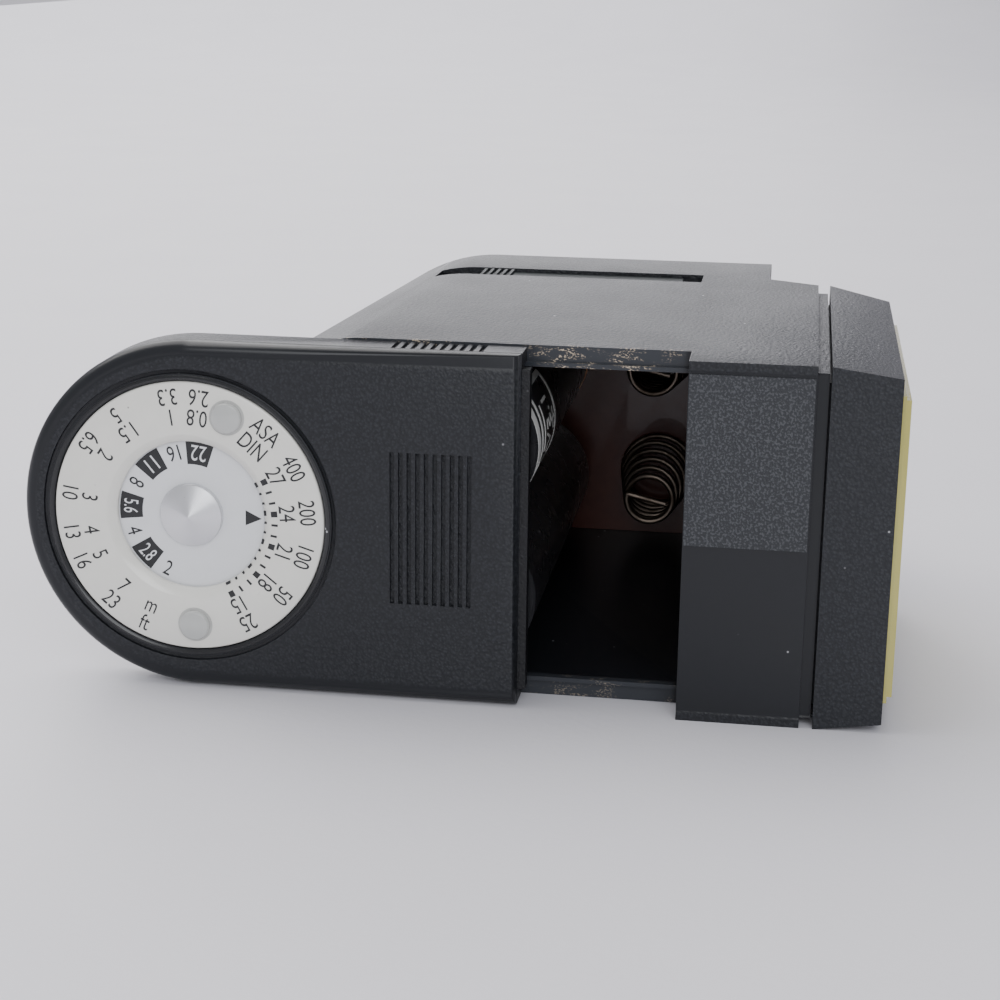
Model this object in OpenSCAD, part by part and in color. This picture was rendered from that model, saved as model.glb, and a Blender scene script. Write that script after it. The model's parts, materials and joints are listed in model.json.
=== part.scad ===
// Pocket electronic flash gun with a sliding battery cover that carries an exposure dial.
// Millimetres. +X points the way the light goes, +Z is up, -Y is the side with the dial.
// The gun lies on one narrow side. The battery cover stands part open.

/* [Cells] */
// Diameter of one penlight cell
cell_d = 14.5; // [12:0.1:18]
// Length of one penlight cell, nub included
cell_l = 50.5; // [42:0.5:61]
// Gap between neighbouring cells
cell_gap = 0.9; // [0.5:0.1:2]
// Gap between a cell and the compartment's partitions
edge_gap = 0.35; // [0.2:0.05:1]
// Gap between a cell and the compartment's long walls
row_gap = 1; // [0.35:0.05:1.5]
// Room for a compressed contact spring
spring_room = 3.0; // [2.4:0.1:6]
// Free length of a contact spring
spring_free = 15; // [8:0.5:20]
// Wire diameter of a contact spring
spring_wire = 0.7; // [0.5:0.05:0.9]

/* [Battery cover] */
// Thickness of the cover's face
cover_t = 2.4; // [2:0.1:4]
// Thickness of the cover's side flanges
flange_t = 1.3; // [1:0.1:2]
// Depth of the side flanges behind the face
flange_deep = 2.1; // [1.8:0.1:3]
// How far the cover stands open
cover_open = 15.65; // [6:0.05:20]
// Step of the cover's sides below the housing's sides
cover_inset = 0.2; // [0.1:0.05:0.5]
// Seam between the closed cover and the fixed panel
cover_seam = 0.25; // [0.15:0.05:0.6]
// Length of the lip that the closed cover slips under the panel
cover_lip = 0.8; // [0.5:0.1:1]
// How far the dial's axis lies towards the round end from the centre of that end's arc
dial_shift = 0.6; // [0:0.1:1]
// Number of grip ribs on the cover's face
grip_ribs = 10; // [6:1:12]
// Distance from one grip rib to the next
grip_pitch = 0.85; // [0.7:0.05:1]
// Length of the grip ribs
grip_l = 15.4; // [10:0.2:20]

/* [Exposure dial] */
// Radius of the turning scale ring
ring_r = 13.8; // [12:0.1:14.4]
// Radius of the window in the scale ring
ring_window_r = 7.6; // [6:0.1:9]
// Thickness of the scale ring
ring_t = 1.3; // [1:0.05:1.6]
// Radius of the finger bosses on the ring
boss_r = 1.55; // [1:0.05:2]
// Height of the finger bosses
boss_h = 0.9; // [0.5:0.05:1.2]
// Radius of the cone at the centre of the dial
rivet_r = 3.2; // [2:0.1:5]

/* [Housing] */
// Width of the guide ridge round the battery mouth
guide_w = 0.45; // [0.4:0.05:1]
// Height of the guide ridge above the ledge that the cover slides on
guide_h = 0.5; // [0.3:0.1:1]
// Wall of the back and the partitions
partition = 1.4; // [1:0.1:2.5]
// How far the housing's round end stands back from the closed cover's
end_back = 1.6; // [0.5:0.05:2]
// Lean of the round end, in mm for each mm of depth
end_lean = 0.085; // [0:0.005:0.1]
// Straight length between the round end and the first partition
bay_straight = 2.55; // [1.5:0.05:6]
// How far the fixed panel laps over the battery compartment
panel_lap = 1.2; // [0.9:0.1:1.4]
// Length of the fixed panel beside the battery mouth
panel_l = 12; // [10:0.5:20]
// Depth of the lamp head
head_d = 45.5; // [40:0.5:52]
// Slope of the head's underside behind the panel
head_slope = 3; // [0:0.5:4]
// Length of the neck strip between housing and head
neck_l = 1.1; // [0.8:0.1:2]
// Thickness of the brown contact board
board_t = 1.2; // [0.8:0.1:2]

/* [Lamp head] */
// Length of the bezel
bezel_l = 6.6; // [5:0.1:12]
// Draft of the bezel's narrow sides
bezel_draft = 0.9; // [0:0.1:1.5]
// How far the bezel's far side slants in
bezel_slant = 4; // [2:0.5:9]
// How far the window stands out of the bezel
lens_out = 0.9; // [0.6:0.1:3]
// Depth of the reflector
reflector_l = 9; // [6:0.5:10]
// Radius of the flash tube
tube_r = 1.9; // [1.2:0.1:2.5]

/* [Power slider] */
// Width of the slider strip
slider_w = 4.6; // [3:0.1:6]
// Travel of the slider
slider_travel = 2; // [1:0.5:3]

/* [Shoe foot] */
// Width of the foot plate
foot_w = 18.6; // [18:0.1:18.6]
// Length of the foot plate
foot_l = 18; // [15:0.5:20]
// Thickness of the foot plate
foot_t = 2; // [1.5:0.1:2.1]
// Width of the neck above the foot plate
foot_neck_w = 12.4; // [10:0.1:12.5]
// Height of the neck above the foot plate
foot_neck_h = 1.8; // [1.5:0.1:2.5]

/* [Hidden] */
$fn = 64;
eps = 0.01;
slide_clear = 0.1;
fit_clear = 0.05;
rows = [-1, 1];

cell_pitch = cell_d + cell_gap;
comp_hh = cell_pitch / 2 + cell_d / 2 + row_gap;
rail_hh = comp_hh + guide_w;
flange_hh = rail_hh + slide_clear;
cover_hh = flange_hh + flange_t;
body_hh = cover_hh + cover_inset;

comp_x0 = bay_straight + partition;
column = [comp_x0 + edge_gap + cell_d / 2, comp_x0 + edge_gap + cell_d / 2 + cell_pitch];
comp_x1 = column[1] + cell_d / 2 + edge_gap;
panel_x0 = comp_x1 - panel_lap;
panel_x1 = panel_x0 + panel_l;
neck_x1 = panel_x1 + neck_l;
bezel_x0 = neck_x1 + 0.2;
bezel_x1 = bezel_x0 + bezel_l;
lens_x1 = bezel_x1 + lens_out;
bay_x0 = comp_x1 + partition;
rear_bay_x1 = bay_x0 + slider_travel + 0.4;
step_x = rear_bay_x1 + partition;
neck_inset = 0.8;

contact_h = 1.0;
leaf_t = 0.4;
mouth_y = cover_t + slide_clear;
ledge_y = cover_t + flange_deep + slide_clear;
pocket_y = cover_t + contact_h + slide_clear;
cell_y0 = pocket_y + fit_clear;
cell_y1 = cell_y0 + cell_l;
board_y0 = cell_y1 + spring_room;
board_y1 = board_y0 + board_t;
rear_d = board_y1 + partition;

dial_x = -cover_open;
arc_x = dial_shift - cover_open;
cover_x1 = panel_x0 - cover_seam - cover_open;
lip_y0 = 1.0;
lip_hh = comp_hh + 0.3;
recess_r = ring_r + 0.1;
recess_d = 1.6;
disc_t = 0.3;
rim_w = 0.7;
rim_gap = 0.4;
boss_at = [68, -88];
boss_ring_r = (ring_r + ring_window_r) / 2 + 0.5;
post_r = 1.6;
grip_x0 = dial_x + ring_r + 6.6;
grip_deep = 0.45;
side_rib_pitch = 0.95;
side_ribs = 10;
side_rib_x0 = dial_x + ring_r + 6.5;

slider_y0 = rear_d - 14.9;
slider_y1 = slider_y0 + slider_w;
groove_x0 = comp_x0 - 3;
groove_x1 = comp_x1 - 2.5;
groove_clear = 0.2;
slider_t = 1.1;
slider_floor = body_hh - slider_t - 0.4;
slider_x0 = groove_x0 + 5.2;
slider_x1 = rear_bay_x1 - slider_travel - 0.1;
tongue_t = 0.5;

button_y = slider_y0 - 3;
lamp_y = button_y + 9;
button_r = 2.6;
lamp_r = 2.2;
button_travel = 1.2;
end_wall = 1.5;
bay_r = rail_hh - end_wall;
button_collar_r = button_r + 0.9;
button_end = seat(button_collar_r, button_y) + 0.8;
lens_collar_r = lamp_r + 0.8;
lens_seat = seat(lens_collar_r, lamp_y);
cap_y0 = ledge_y + end_wall + 0.5;
cap_l = 29.8;
cap_r = (bay_r - end_x(cap_y0 + cap_l) + bay_straight) / 2 - 0.4;
cap_x = bay_straight - cap_r - 0.3;

shell_in = 1.8;
bay_y0 = 1.8;
bay_y1 = head_d - 1.8;
window_y0 = 1.2;
window_y1 = head_d - bezel_slant - window_y0;
window_hh = body_hh - bezel_draft - 1.8;
window_t = 1.2;
reflector_x1 = bezel_x1 - window_t - 0.1;
reflector_x0 = reflector_x1 - reflector_l;
reflector_t = 0.4;
reflector_half = (window_y1 - window_y0) / 2 - 1.6;
reflector_y = (window_y0 + window_y1) / 2;
reflector_hh = window_hh - 1.6;
focus = reflector_half * reflector_half / (4 * reflector_l);
tube_x = reflector_x0 + tube_r + 1.4;

pcb_x0 = bay_x0 + 0.5;
pcb_t = 1.2;
pcb_x1 = pcb_x0 + pcb_t;

foot_x = column[0] + cell_pitch / 2;
foot_base_t = 1.4;
foot_base_l = foot_l + 8;
foot_base_w = foot_w + 2;
foot_screw_r = 1.0;
foot_screw_at = foot_l / 2 + 2.4;
foot_y1 = rear_d + foot_base_t + foot_neck_h + foot_t;
foot_pin_r = 1.1;

y_low = -boss_h;

centre_x = (arc_x - cover_hh + lens_x1) / 2;
centre_y = (y_low + foot_y1) / 2;

// X of the leaning round end's axis at depth y.
function end_x(y) = end_back + end_lean * (y - ledge_y);

// X at which a collar of radius r at depth y sits just clear of the bay's round wall.
function seat(r, y) = end_x(y + r) - sqrt(bay_r * bay_r - r * r) + 0.05;

// Shifts the construction frame, whose origin is the centre of the housing's round end,
// so that the object stands on z = 0 with its box centred on the origin.
module place() translate([-centre_x, -centre_y, body_hh]) children();

// Extrudes an x-z outline from y0 to y1.
module slab_y(y0, y1) translate([0, y1, 0]) rotate([90, 0, 0]) linear_extrude(y1 - y0) children();

// Extrudes a y-z outline from x0 to x1.
module slab_x(x0, x1) translate([x0, 0, 0]) rotate([90, 0, 90]) linear_extrude(x1 - x0) children();

// A block given by its low and high corners.
module block(low, high) translate(low) cube(high - low);

// A round rod along y.
module rod_y(r, y0, y1, x = 0, z = 0) translate([x, y1, z]) rotate([90, 0, 0]) cylinder(r = r, h = y1 - y0);

// A round rod along x.
module rod_x(r, x0, x1, y = 0, z = 0) translate([x0, y, z]) rotate([0, 90, 0]) cylinder(r = r, h = x1 - x0);

// Stadium half: a round end about cx and a straight run to x1, hh high each way.
module round_end(hh, x1, cx = 0) {
    translate([cx, 0]) circle(r = hh, $fn = 96);
    translate([cx, -hh]) square([x1 - cx, 2 * hh]);
}

// Housing block whose round end leans back from y0 to y1, straight to x1.
module leaning_end(hh, y0, y1, x1) hull() for (y = [y0, y1 - eps])
    slab_y(y, y + eps) round_end(hh, x1, end_x(y));

// Turns a shape made about z so that its top faces the dial side, on the dial's axis.
module on_dial(x = dial_x) translate([x, 0, 0]) rotate([90, 0, 0]) children();

// A conical spring about z: a wire swept from the wide end at z = 0 to the narrow end.
// Rings of eight points follow a helix whose radius falls with height.
module cone_spring(r0, r1, length, wire, turns, steps = 20) {
    rings = turns * steps;
    sides = 8;
    points = [for (i = [0:rings], k = [0:sides - 1])
        let (t = i / rings, a = 360 * turns * t, r = r0 + (r1 - r0) * t,
             z = wire / 2 + (length - wire) * t, b = 360 * k / sides,
             rr = r + wire / 2 * cos(b))
        [rr * cos(a), rr * sin(a), z + wire / 2 * sin(b)]];
    walls = [for (i = [0:rings - 1], k = [0:sides - 1])
        let (n = (k + 1) % sides)
        [i * sides + k, (i + 1) * sides + k, (i + 1) * sides + n, i * sides + n]];
    first = [for (k = [0:sides - 1]) k];
    last = [for (k = [sides - 1:-1:0]) rings * sides + k];
    polyhedron(points, concat(walls, [first], [last]), convexity = 6);
}

module main_housing() color([0.13, 0.13, 0.14]) difference() {
    union() {
        // guide ridge that the cover's flanges run along
        slab_y(ledge_y - guide_h, ledge_y + eps) difference() {
            round_end(rail_hh, panel_x0 + eps, dial_shift);
            round_end(comp_hh, panel_x0 + 1, dial_shift);
        }
        leaning_end(body_hh, ledge_y, rear_d, step_x);
        block([panel_x0, 0, -body_hh], [panel_x1, ledge_y + eps, body_hh]);
        translate([0, 0, -body_hh]) linear_extrude(2 * body_hh) polygon([[step_x - eps, ledge_y],
            [panel_x1, ledge_y], [panel_x1, head_d], [step_x - eps, head_d + head_slope]]);
        block([panel_x1 - eps, neck_inset, -body_hh + neck_inset],
            [neck_x1, head_d - neck_inset, body_hh - neck_inset]);
    }
    // battery compartment
    block([comp_x0, 0, -comp_hh], [panel_x0, board_y1, comp_hh]);
    block([panel_x0 - eps, mouth_y, -comp_hh], [comp_x1, board_y1, comp_hh]);
    // rebate behind the panel's edge for the cover's lip
    block([panel_x0 - eps, lip_y0 - slide_clear, -lip_hh - slide_clear],
        [panel_x0 + cover_lip, mouth_y + eps, lip_hh + slide_clear]);
    // capacitor bay in the round end
    intersection() {
        leaning_end(bay_r, ledge_y + end_wall, board_y1, comp_x0);
        block([-body_hh, 0, -body_hh], [bay_straight, rear_d, body_hh]);
    }
    // electronics bay, open towards the head
    block([bay_x0, bay_y0, -body_hh + shell_in], [neck_x1 + eps, bay_y1, body_hh - shell_in]);
    block([bay_x0, bay_y0, -body_hh + shell_in], [rear_bay_x1, board_y1, body_hh - shell_in]);
    // groove of the power slider
    block([groove_x0, slider_y0 - groove_clear, slider_floor],
        [groove_x1, slider_y1 + groove_clear, body_hh + eps]);
    block([groove_x1 - eps, slider_y0 - groove_clear, slider_floor],
        [rear_bay_x1, slider_y1 + groove_clear, slider_floor + tongue_t + slide_clear]);
    // bores of the test button and the ready lamp in the round end
    rod_x(button_r + fit_clear, -body_hh - eps, button_end, button_y);
    rod_x(lamp_r + fit_clear, -body_hh - eps, lens_seat + 0.5, lamp_y);
    // lead and screw holes to the shoe foot
    for (s = rows)
        rod_y(foot_screw_r - 0.1, board_y1 - eps, rear_d + eps, foot_x + s * foot_screw_at);
    rod_y(foot_pin_r + fit_clear, board_y1 - eps, rear_d + eps, foot_x);
}

label_t = 0.15;
module panel_label() color([0.2, 0.21, 0.23])
    block([panel_x0 + 0.1, -label_t, 0], [panel_x1 - 0.15, 0, body_hh - 1.2]);

module battery_cover() color([0.1, 0.105, 0.115]) difference() {
    union() {
        slab_y(0, cover_t) round_end(cover_hh, cover_x1, arc_x);
        block([cover_x1 - eps, lip_y0, -lip_hh], [cover_x1 + cover_lip, cover_t, lip_hh]);
        slab_y(cover_t - eps, cover_t + flange_deep) difference() {
            round_end(cover_hh, cover_x1, arc_x);
            round_end(flange_hh, cover_x1 + eps, arc_x);
        }
    }
    on_dial() translate([0, 0, -recess_d]) cylinder(r = recess_r, h = recess_d + eps, $fn = 96);
    // fine groove outside the dial's rim
    on_dial() translate([0, 0, -0.4]) difference() {
        cylinder(r = recess_r + rim_w + rim_gap, h = 0.4 + eps, $fn = 96);
        translate([0, 0, -eps]) cylinder(r = recess_r + rim_w, h = 1, $fn = 96);
    }
    on_dial() translate([0, 0, -cover_t - eps]) cylinder(r = post_r + fit_clear, h = cover_t);
    // valleys between the grip ribs
    for (i = [0:grip_ribs - 1])
        block([grip_x0 + i * grip_pitch, -eps, -grip_l / 2],
            [grip_x0 + (i + 0.5) * grip_pitch, grip_deep, grip_l / 2]);
    // finger notches on both side flanges
    for (s = rows, i = [0:side_ribs - 1])
        translate([side_rib_x0 + i * side_rib_pitch, 1.2, s * cover_hh - 0.3])
            cube([side_rib_pitch / 2, cover_t + flange_deep, 0.6]);
    // seats of the bridging contacts
    for (s = rows) bridge_plate(s, cover_t - leaf_t, cover_t + eps, fit_clear);
}

// The flat leaf that joins the two cells of one row when the cover is shut.
module bridge_plate(s, y0, y1, grow = 0)
    block([column[0] - cover_open - 4 - grow, y0, s * cell_pitch / 2 - 4 - grow],
        [column[1] - cover_open + 4 + grow, y1, s * cell_pitch / 2 + 4 + grow]);

module bridge_contact(s) color([0.8, 0.72, 0.45]) {
    bridge_plate(s, cover_t - leaf_t, cover_t);
    for (x = column)
        rod_y(1.8, cover_t - eps, cover_t + contact_h - fit_clear, x - cover_open, s * cell_pitch / 2);
}

module aperture_disc() color([0.86, 0.86, 0.87]) on_dial() translate([0, 0, -recess_d]) difference() {
    cylinder(r = recess_r - 0.3, h = disc_t, $fn = 96);
    translate([0, 0, -eps]) cylinder(r = post_r + fit_clear, h = 1);
}

// Spun cone head with a post through the cover.
module dial_rivet() color([0.75, 0.75, 0.77]) on_dial() rotate_extrude()
    polygon([[0, -cover_t - 0.35], [post_r, -cover_t - 0.35], [post_r, -recess_d + disc_t],
        [rivet_r, -recess_d + disc_t], [rivet_r, -recess_d + disc_t + 0.5], [0, -recess_d + disc_t + 1.5]]);

// Spring washer behind the cover that holds the rivet.
module dial_clip() color([0.7, 0.7, 0.72]) on_dial() translate([0, 0, -cover_t - 0.35]) difference() {
    cylinder(r = 4.4, h = 0.3);
    translate([0, 0, -eps]) cylinder(r = post_r + fit_clear, h = 1);
}

print_t = 0.1;
ring_low = -recess_d + disc_t + fit_clear;

// White printed layer under the clear ring.
module scale_print() color([0.93, 0.92, 0.87]) on_dial() translate([0, 0, ring_low]) difference() {
    cylinder(r = ring_r - 0.05, h = print_t, $fn = 96);
    translate([0, 0, -eps]) cylinder(r = ring_window_r + 0.8, h = 1, $fn = 96);
}

// Clear ring with a bevelled window and two finger bosses.
module scale_ring() color([0.9, 0.93, 0.9, 0.6]) on_dial() {
    rotate_extrude($fn = 96) polygon([[ring_window_r, ring_low + print_t],
        [ring_r, ring_low + print_t], [ring_r, ring_low + ring_t - 0.2],
        [ring_r - 0.2, ring_low + ring_t], [ring_window_r + 0.8, ring_low + ring_t],
        [ring_window_r, ring_low + print_t + 0.3]]);
    for (a = boss_at) rotate([0, 0, a]) translate([boss_ring_r, 0, ring_low + ring_t - eps])
        cylinder(r = boss_r, h = boss_h - (ring_low + ring_t) + eps, $fn = 32);
}

module contact_board() color([0.35, 0.17, 0.1])
    block([comp_x0 + fit_clear, board_y0, -comp_hh + fit_clear],
        [comp_x1 - fit_clear, board_y1, comp_hh - fit_clear]);

module contact_spring(s) color([0.72, 0.68, 0.6])
    translate([column[1], board_y0, s * cell_pitch / 2]) rotate([90, 0, 0])
        cone_spring(4.4, 2.6, spring_free, spring_wire, 5);

module plus_contact(s) color([0.8, 0.7, 0.4])
    translate([column[0], board_y0, s * cell_pitch / 2]) rotate([90, 0, 0]) {
        cylinder(r = 4.2, h = leaf_t);
        cylinder(r = 2.6, h = spring_room - fit_clear);
    }

nub_l = 1.2;
module cell(s) color([0.15, 0.15, 0.16])
    rod_y(cell_d / 2, cell_y0, cell_y1 - nub_l, column[0], s * cell_pitch / 2);

module cell_cap(s) color([0.75, 0.6, 0.35])
    rod_y(2.7, cell_y1 - nub_l, cell_y1 - fit_clear, column[0], s * cell_pitch / 2);

// Plan outline of the bezel's outer slice, y against x, drawn in as it nears the window.
module bezel() color([0.13, 0.135, 0.14]) difference() {
    union() {
        hull() {
            block([bezel_x0, 0, -body_hh], [bezel_x0 + eps, head_d, body_hh]);
            block([bezel_x1 - eps, 0, -body_hh + bezel_draft],
                [bezel_x1, head_d - bezel_slant, body_hh - bezel_draft]);
        }
        block([panel_x1 - 1.5, bay_y0 + slide_clear, -body_hh + shell_in + slide_clear],
            [bezel_x0 + eps, bay_y1 - slide_clear, body_hh - shell_in - slide_clear]);
    }
    block([panel_x1 - 2, window_y0 + 1.4, -window_hh + 0.8],
        [bezel_x1 - window_t - 0.8, window_y1 - 0.6, window_hh - 0.8]);
    block([bezel_x1 - window_t - 1, window_y0 - fit_clear, -window_hh - fit_clear],
        [bezel_x1 + eps, window_y1 + fit_clear, window_hh + fit_clear]);
}

module window() color([0.85, 0.8, 0.35, 0.7]) difference() {
    union() {
        block([bezel_x1 - window_t, window_y0, -window_hh], [lens_x1 - 0.5, window_y1, window_hh]);
        block([lens_x1 - 0.5 - eps, window_y0 + 0.5, -window_hh + 0.5],
            [lens_x1, window_y1 - 0.5, window_hh - 0.5]);
    }
    // light ribs moulded into the back of the window
    for (y = [window_y0 + 2.2 : 1.6 : window_y1 - 2.6])
        block([bezel_x1 - window_t - eps, y, -window_hh + 1],
            [bezel_x1 - window_t + 0.6, y + 0.8, window_hh - 1]);
}

// Trough whose section is a parabola: x = y^2 / 4f, closed by two end plates.
module reflector() color([0.9, 0.9, 0.92]) {
    steps = 24;
    inner = [for (i = [-steps:steps]) let (y = reflector_half * i / steps)
        [reflector_x0 + y * y / (4 * focus), reflector_y + y]];
    outer = [for (i = [steps:-1:-steps]) let (y = (reflector_half + reflector_t) * i / steps)
        [reflector_x0 - reflector_t + y * y / (4 * focus), reflector_y + y]];
    translate([0, 0, -reflector_hh]) linear_extrude(2 * reflector_hh) polygon(concat(inner, outer));
    for (s = rows) translate([0, 0, s * (reflector_hh - reflector_t / 2) - reflector_t / 2])
        linear_extrude(reflector_t) difference() {
            polygon(inner);
            translate([tube_x, reflector_y]) circle(r = tube_r + 0.4);
        }
}

tube_hh = reflector_hh - reflector_t - 0.6;
module flash_tube() color([0.9, 0.93, 0.95, 0.5]) translate([tube_x, reflector_y, -tube_hh])
    cylinder(r = tube_r, h = 2 * tube_hh);

module tube_end_caps() color([0.75, 0.75, 0.78]) for (s = rows)
    translate([tube_x, reflector_y, s > 0 ? tube_hh : -tube_hh - 1.6]) cylinder(r = tube_r, h = 1.6);

module circuit_board() color([0.55, 0.4, 0.2])
    block([pcb_x0, bay_y0 + 0.6, -body_hh + shell_in + 1],
        [pcb_x1, bay_y1 - 0.6, body_hh - shell_in - 2.6]);

transformer = [5.2, 6.4, 9];
transformer_y = bay_y1 - transformer[1] - 0.8;
module transformer_core() color([0.25, 0.25, 0.27]) difference() {
    block([pcb_x1, transformer_y, -transformer[2] - 3],
        [pcb_x1 + transformer[0], transformer_y + transformer[1], -3]);
    block([pcb_x1 - eps, transformer_y - eps, -transformer[2] - 1.4],
        [pcb_x1 + transformer[0] + eps, transformer_y + transformer[1] + eps, -4.6]);
}

module transformer_winding() color([0.7, 0.4, 0.2])
    block([pcb_x1, transformer_y + 0.4, -transformer[2] - 1.4 + fit_clear],
        [pcb_x1 + transformer[0] - 0.6, transformer_y + transformer[1] - 0.4, -4.6 - fit_clear]);

module trigger_coil() color([0.65, 0.3, 0.15])
    translate([pcb_x1 + 1.9, transformer_y + 2.6, 1]) {
        cylinder(r = 1.7, h = 6);
        for (z = [-0.6, 6]) translate([0, 0, z]) cylinder(r = 1.85, h = 0.6);
    }

// Slide switch in the rear of the electronics bay, under the power slider's tongue.
module switch_body() color([0.6, 0.6, 0.62])
    block([bay_x0 + 0.1, slider_y0, slider_floor - 6.5],
        [rear_bay_x1 - 0.1, slider_y1, slider_floor - 0.4]);

module capacitor() color([0.75, 0.75, 0.77]) {
    rod_y(cap_r - 0.3, cap_y0, cap_y0 + cap_l, cap_x);
    for (s = rows) rod_y(0.4, cap_y0 + cap_l - eps, cap_y0 + cap_l + 2, cap_x, s * 2.5);
}

module capacitor_sleeve() color([0.12, 0.2, 0.4]) difference() {
    rod_y(cap_r, cap_y0 + 0.6, cap_y0 + cap_l - 0.6, cap_x);
    rod_y(cap_r - 0.3 + 0.01, cap_y0, cap_y0 + cap_l, cap_x);
}

// Strip in the side groove: a ribbed thumb grip at one end and a tongue that reaches the
// electronics bay at the other.
module power_slider() color([0.08, 0.1, 0.1]) {
    block([slider_x0, slider_y0, slider_floor + slide_clear],
        [groove_x1 - slider_travel - 0.3, slider_y1, slider_floor + slider_t]);
    block([groove_x1 - slider_travel - 0.3 - eps, slider_y0, slider_floor + slide_clear],
        [slider_x1, slider_y1, slider_floor + tongue_t]);
    for (i = [0:4]) block([slider_x0 + i * 0.8, slider_y0, slider_floor + slider_t - eps],
        [slider_x0 + i * 0.8 + 0.4, slider_y1, body_hh - fit_clear]);
}

module ready_lens() color([0.9, 0.35, 0.1, 0.8]) {
    rod_x(lamp_r, end_x(lamp_y) - body_hh - 0.4, lens_seat + eps, lamp_y);
    rod_x(lens_collar_r, lens_seat, lens_seat + 0.5, lamp_y);
}

module neon_lamp() color([0.95, 0.7, 0.5, 0.6]) {
    rod_x(1.5, lens_seat + 0.6, lens_seat + 5.6, lamp_y);
    for (s = rows) rod_x(0.3, lens_seat + 5.6 - eps, lens_seat + 7.6, lamp_y, s * 0.7);
}

module test_button() color([0.75, 0.15, 0.1]) {
    rod_x(button_r, end_x(button_y) - body_hh - 1.6, button_end - 0.8 + eps, button_y);
    rod_x(button_collar_r, button_end - 0.8, button_end, button_y);
}

// Coil about the button's axis, between its collar and the test switch.
module button_spring() color([0.7, 0.7, 0.72])
    translate([button_end + 0.05, button_y, 0]) rotate([0, 90, 0])
        cone_spring(2.3, 2.3, button_travel + 1.9, 0.35, 3, 16);

module test_switch() color([0.3, 0.3, 0.32])
    block([button_end + button_travel + 2, button_y - 3, -4],
        [button_end + button_travel + 4.2, button_y + 2.9, 4]);

module shoe_foot() color([0.1, 0.1, 0.11]) difference() {
    union() {
        block([foot_x - foot_base_l / 2, rear_d, -foot_base_w / 2],
            [foot_x + foot_base_l / 2, rear_d + foot_base_t, foot_base_w / 2]);
        block([foot_x - foot_l / 2, rear_d, -foot_neck_w / 2],
            [foot_x + foot_l / 2, foot_y1 - foot_t + eps, foot_neck_w / 2]);
        block([foot_x - foot_l / 2, foot_y1 - foot_t, -foot_w / 2],
            [foot_x + foot_l / 2, foot_y1, foot_w / 2]);
    }
    rod_y(foot_pin_r + fit_clear, rear_d - 1, foot_y1 + 1, foot_x);
    for (s = rows) {
        rod_y(foot_screw_r + fit_clear, rear_d - eps, foot_y1, foot_x + s * foot_screw_at);
        rod_y(foot_screw_r + 1.1, rear_d + foot_base_t - 0.7, foot_y1, foot_x + s * foot_screw_at);
    }
}

module foot_contact() color([0.85, 0.75, 0.5])
    rod_y(foot_pin_r, board_y1, foot_y1 - 0.05, foot_x);

module foot_screws() color([0.7, 0.7, 0.72]) for (s = rows) {
    screw_y0 = rear_d + foot_base_t - 0.7;
    rod_y(foot_screw_r - 0.15, board_y1 + 0.2, screw_y0 + eps, foot_x + s * foot_screw_at);
    difference() {
        rod_y(foot_screw_r + 1, screw_y0, screw_y0 + 0.8, foot_x + s * foot_screw_at);
        translate([foot_x + s * foot_screw_at, rear_d + foot_base_t, 0]) cube([0.5, 0.8, 5], center = true);
    }
}

place() main_housing();
place() panel_label();
place() battery_cover();
place() bridge_contact(1);  // bridge_contact_upper
place() bridge_contact(-1);  // bridge_contact_lower
place() aperture_disc();
place() dial_rivet();
place() dial_clip();
place() scale_print();
place() scale_ring();
place() contact_board();
place() contact_spring(1);  // spring_upper
place() contact_spring(-1);  // spring_lower
place() plus_contact(1);  // plus_contact_upper
place() plus_contact(-1);  // plus_contact_lower
place() cell(1);  // cell_upper
place() cell(-1);  // cell_lower
place() cell_cap(1);  // cell_cap_upper
place() cell_cap(-1);  // cell_cap_lower
place() bezel();
place() window();
place() reflector();
place() flash_tube();
place() tube_end_caps();
place() circuit_board();
place() transformer_core();
place() transformer_winding();
place() trigger_coil();
place() switch_body();
place() capacitor();
place() capacitor_sleeve();
place() power_slider();
place() ready_lens();
place() neon_lamp();
place() test_button();
place() button_spring();
place() test_switch();
place() shoe_foot();
place() foot_contact();
place() foot_screws();
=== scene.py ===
"""Looks of a pocket electronic flash gun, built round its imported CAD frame. Metres throughout."""
import json
import math

import bmesh
import bpy
import numpy as np
from mathutils import Matrix, Vector


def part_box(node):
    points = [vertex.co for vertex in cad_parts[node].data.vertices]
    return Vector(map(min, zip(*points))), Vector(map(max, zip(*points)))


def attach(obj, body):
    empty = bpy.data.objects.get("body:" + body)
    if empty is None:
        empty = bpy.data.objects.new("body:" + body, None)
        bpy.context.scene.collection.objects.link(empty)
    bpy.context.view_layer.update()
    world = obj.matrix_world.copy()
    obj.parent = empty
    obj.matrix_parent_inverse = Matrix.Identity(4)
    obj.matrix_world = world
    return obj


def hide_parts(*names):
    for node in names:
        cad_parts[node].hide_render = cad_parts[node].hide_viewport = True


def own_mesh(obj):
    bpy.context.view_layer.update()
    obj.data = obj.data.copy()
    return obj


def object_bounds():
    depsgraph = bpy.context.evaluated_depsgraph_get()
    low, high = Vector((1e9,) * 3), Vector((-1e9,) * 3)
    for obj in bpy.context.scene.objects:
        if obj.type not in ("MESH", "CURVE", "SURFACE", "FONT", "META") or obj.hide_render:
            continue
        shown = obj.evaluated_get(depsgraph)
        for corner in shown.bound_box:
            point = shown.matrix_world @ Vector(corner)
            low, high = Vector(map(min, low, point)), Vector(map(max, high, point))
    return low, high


bl_info = {
    "name": "Pocket Flash Gun",
    "version": (1, 0, 0),
    "blender": (4, 5, 0),
    "location": "View3D > Sidebar > Flash Gun",
    "description": "Dresses the flash gun's CAD frame with rounded shells, dial, cells and finishes",
    "category": "Object",
}

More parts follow.
